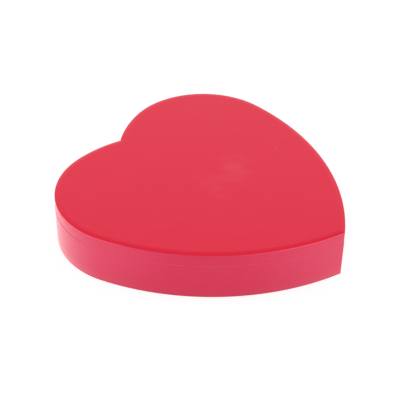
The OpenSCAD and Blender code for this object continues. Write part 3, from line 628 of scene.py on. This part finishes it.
def dressed(node, name, slot, material, edge=0.0, segments=2):
    """Stands a merged copy in for a plain solid, its true edges softened by edge mm."""
    bpy.ops.object.select_all(action="DESELECT")
    plain = frame["nodes"][node]
    piece = bpy.data.objects.new(name, plain.data.copy())
    bpy.context.scene.collection.objects.link(piece)
    bpy.context.view_layer.objects.active = piece
    piece.select_set(True)
    bpy.ops.object.mode_set(mode="EDIT")
    bpy.ops.mesh.select_mode(type="VERT")
    bpy.ops.mesh.select_all(action="SELECT")
    bpy.ops.mesh.remove_doubles(threshold=TOUCHING)
    bpy.ops.mesh.dissolve_limited(angle_limit=FLAT_ANGLE)
    bpy.ops.object.mode_set(mode="OBJECT")
    if edge:
        soften = piece.modifiers.new("soft_edges", "BEVEL")
        soften.width, soften.segments = edge * MM, segments
        soften.limit_method, soften.angle_limit = "ANGLE", EDGE_ANGLE
        bpy.ops.object.modifier_apply(modifier=soften.name)
        bpy.ops.object.mode_set(mode="EDIT")
        bpy.ops.mesh.select_all(action="SELECT")
        bpy.ops.mesh.dissolve_degenerate(threshold=1.5e-6)
        bpy.ops.object.mode_set(mode="OBJECT")
    bpy.ops.object.shade_smooth_by_angle(angle=math.radians(30.0))
    flatten = piece.modifiers.new("flat_faces", "WEIGHTED_NORMAL")
    flatten.keep_sharp = True
    bpy.ops.object.modifier_apply(modifier=flatten.name)
    settle(piece, plain["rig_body"], slot, material, node)
    return piece


dressed("partition", "flocked_partition", "flock", red_flock, edge=0.35, segments=3)

# ---------------------------------------------------------------------------
# Clear cover. A 1 mm clear acrylic sheet, laser cut to the front of the heart,
# rests on the ledge and the partition over the movement and lifts out.

acrylic = Finish("clear_acrylic")
scratches = acrylic.noise(acrylic.place(turn=0.6, scale=(1.0, 0.04, 1.0)), 2200.0, detail=2.0)
haze = acrylic.noise(acrylic.place(), 45.0, detail=3.0)
clear_acrylic = acrylic.surface(
    Base_Color=acrylic.blend(haze, (0.965, 0.985, 0.985), (0.99, 1.0, 1.0)),
    Roughness=0.02 + haze.step(0.55, 0.75) * 0.03 + scratches.step(0.68, 0.72) * 0.12,
    Normal=acrylic.bump(scratches, 0.000004, 0.25),
    Transmission_Weight=1.0, IOR=1.49)
clear_sheet = dressed("clear_cover", "clear_acrylic_cover", "clear_sheet", clear_acrylic, edge=0.12)
# light passes straight through it
clear_sheet.visible_shadow = clear_sheet.visible_diffuse = False

# ---------------------------------------------------------------------------
# Bedplate. A die-cast zinc plate with a raised land for the comb, tumbled matt,
# held down by three slotted screws that come up through the tray floor.


def cast_metal(name, dark, light, roughness):
    """As-cast zinc: a dull skin, clouded, with a fine orange peel."""
    metal = Finish(name)
    skin = metal.noise(metal.place(), 700.0, detail=3.0)
    cloud = metal.noise(metal.place(), 90.0, detail=3.0)
    return metal.surface(Base_Color=metal.blend(cloud.step(0.3, 0.7), dark, light), Metallic=0.9,
                         Roughness=roughness + (cloud - 0.5) * 0.22,
                         Normal=metal.bump(skin, 0.00003, 0.6))


def drawn_metal(name, dark, light, roughness, grain=(1.0, 1.0, 1.0)):
    """Ground, turned or rolled metal: fine lines along the grain, and a trace of handling."""
    metal = Finish(name)
    lines = metal.noise(metal.place(scale=grain), 8000.0, detail=2.0)
    stain = metal.noise(metal.place(), 150.0, detail=3.0)
    tone = (stain * 0.6 + lines * 0.4).step(0.3, 0.7)
    return metal.surface(Base_Color=metal.blend(tone, dark, light), Metallic=1.0,
                         Roughness=roughness + (lines - 0.5) * 0.08 + (stain - 0.5) * 0.10,
                         Normal=metal.bump(lines, 0.000003, 0.5))


zinc = cast_metal("cast_zinc", (0.42, 0.43, 0.45), (0.60, 0.61, 0.63), 0.46)
ground_steel = drawn_metal("ground_steel", (0.47, 0.48, 0.49), (0.62, 0.63, 0.64), 0.27,
                           grain=(0.10, 1.0, 1.0))
screw_metal = drawn_metal("turned_screw_steel", (0.37, 0.37, 0.38), (0.54, 0.54, 0.55), 0.24)
blued_spring = drawn_metal("blued_spring_steel", (0.10, 0.14, 0.26), (0.30, 0.34, 0.44), 0.26,
                           grain=(1.0, 1.0, 0.08))
nickel = drawn_metal("nickel_plate", (0.66, 0.64, 0.60), (0.78, 0.76, 0.72), 0.13)
brass = drawn_metal("polished_brass", (0.66, 0.44, 0.16), (0.86, 0.65, 0.30), 0.20,
                    grain=(1.0, 1.0, 0.3))

dressed("bedplate", "cast_bedplate", "zinc_casting", zinc, edge=0.30, segments=3)
dressed("mounting_screws", "floor_screws", "screw_steel", screw_metal, edge=0.14)

# ---------------------------------------------------------------------------
# Comb. Hardened steel, ground on its face, with eighteen teeth slit by a thin
# wheel, the low notes longest. Two cheese-head screws clamp it to the land.

dressed("comb", "slit_comb", "steel", ground_steel, edge=0.035, segments=1)
dressed("comb_screws", "comb_clamp_screws", "screw_steel", screw_metal, edge=0.12)

# ---------------------------------------------------------------------------
# Spring barrel. A brass crown wheel is riveted under a nickelled drum, which
# holds the mainspring, a long blued strip, and is closed by a pressed cap.

dressed("great_wheel", "crown_wheel", "brass", brass, edge=0.06, segments=1)
dressed("barrel_drum", "spring_drum", "nickel_plate", nickel, edge=0.30, segments=3)
dressed("barrel_cap", "drum_cap", "nickel_plate", nickel, edge=0.10)
dressed("mainspring", "coiled_mainspring", "spring_steel", blued_spring)

# ---------------------------------------------------------------------------
# Winding. A steel arbor runs up through the drum; the butterfly key screws on
# it below the floor, and a saw-toothed ratchet sits on its square at the top.

dressed("winding_arbor", "winding_shaft", "steel", ground_steel, edge=0.10)
dressed("winding_key", "butterfly_key", "nickel_plate", nickel, edge=0.45, segments=3)
dressed("ratchet_wheel", "ratchet", "steel", ground_steel, edge=0.05)

# ---------------------------------------------------------------------------
# Bridge. Two turned pillars carry a blanked brass bar over the drum. The click
# pivots on a shouldered screw on it, and a wire of spring steel presses it in.

dressed("barrel_pillars", "turned_pillars", "steel", ground_steel, edge=0.15)
dressed("barrel_bridge", "brass_bridge", "brass", brass, edge=0.18)
dressed("bridge_screws", "pillar_screws", "screw_steel", screw_metal, edge=0.12)
dressed("click", "ratchet_click", "steel", ground_steel, edge=0.08)
dressed("click_screw", "click_pivot_screw", "screw_steel", screw_metal, edge=0.09)
dressed("click_spring", "click_wire_spring", "steel", ground_steel, edge=0.04)

# ---------------------------------------------------------------------------
# Music cylinder. A thin brass tube drilled and set with hard steel pins, on a
# steel arbor between two brackets, driven at one end through a small pinion.

dressed("music_cylinder", "pinned_cylinder", "brass", brass, edge=0.15)
dressed("cylinder_pins", "steel_pins", "steel", ground_steel)
dressed("cylinder_arbor", "cylinder_shaft", "steel", ground_steel, edge=0.08)
dressed("cylinder_pinion", "crown_pinion", "steel", ground_steel, edge=0.05)
dressed("cylinder_gear", "cylinder_end_gear", "brass", brass, edge=0.04)
dressed("cylinder_bracket", "cast_cylinder_bracket", "zinc_casting", zinc, edge=0.14)

# ---------------------------------------------------------------------------
# Governor. Two plates hold a train of fine brass wheels that spins an upright
# worm and its moulded fan, so that the tune keeps its pace as the spring runs down.

nylon = Finish("moulded_nylon")
flow = nylon.noise(nylon.place(scale=(1.0, 1.0, 0.3)), 260.0, detail=3.0)
grain = nylon.noise(nylon.place(), 2200.0, detail=1.0)
white_nylon = nylon.surface(Base_Color=nylon.blend(flow, (0.80, 0.80, 0.77), (0.90, 0.90, 0.88)),
                            Roughness=0.42 + (flow - 0.5) * 0.12,
                            Normal=nylon.bump(grain, 0.00001, 0.4))

for node, name in (("governor_plate", "cast_governor_plate"),
                   ("governor_outer_plate", "cast_outer_plate"),
                   ("governor_frame", "cast_governor_frame")):
    dressed(node, name, "zinc_casting", zinc, edge=0.12)
dressed("bracket_screws", "frame_screws", "screw_steel", screw_metal, edge=0.10)
for node, name, edge in (("first_arbor", "first_shaft", 0.04),
                         ("worm_wheel_arbor", "second_shaft", 0.04),
                         ("worm", "governor_worm", 0.0), ("brake_disc", "stop_disc", 0.06)):
    dressed(node, name, "steel", ground_steel, edge=edge, segments=1)
for node, name in (("first_wheel", "governor_first_wheel"), ("worm_wheel", "governor_worm_wheel")):
    dressed(node, name, "brass", brass, edge=0.03, segments=1)
dressed("air_brake_fan", "moulded_fan", "white_nylon", white_nylon, edge=0.12)

# ---------------------------------------------------------------------------
# Stop lever. A bent steel wire on a pin: the closed lid holds its upright end
# down, and as the lid lifts it rises and lets the brake disc go.

dressed("stop_lever", "stop_wire_lever", "steel", ground_steel, edge=0.08)
dressed("stop_lever_pin", "stop_lever_pivot", "steel", ground_steel, edge=0.05)
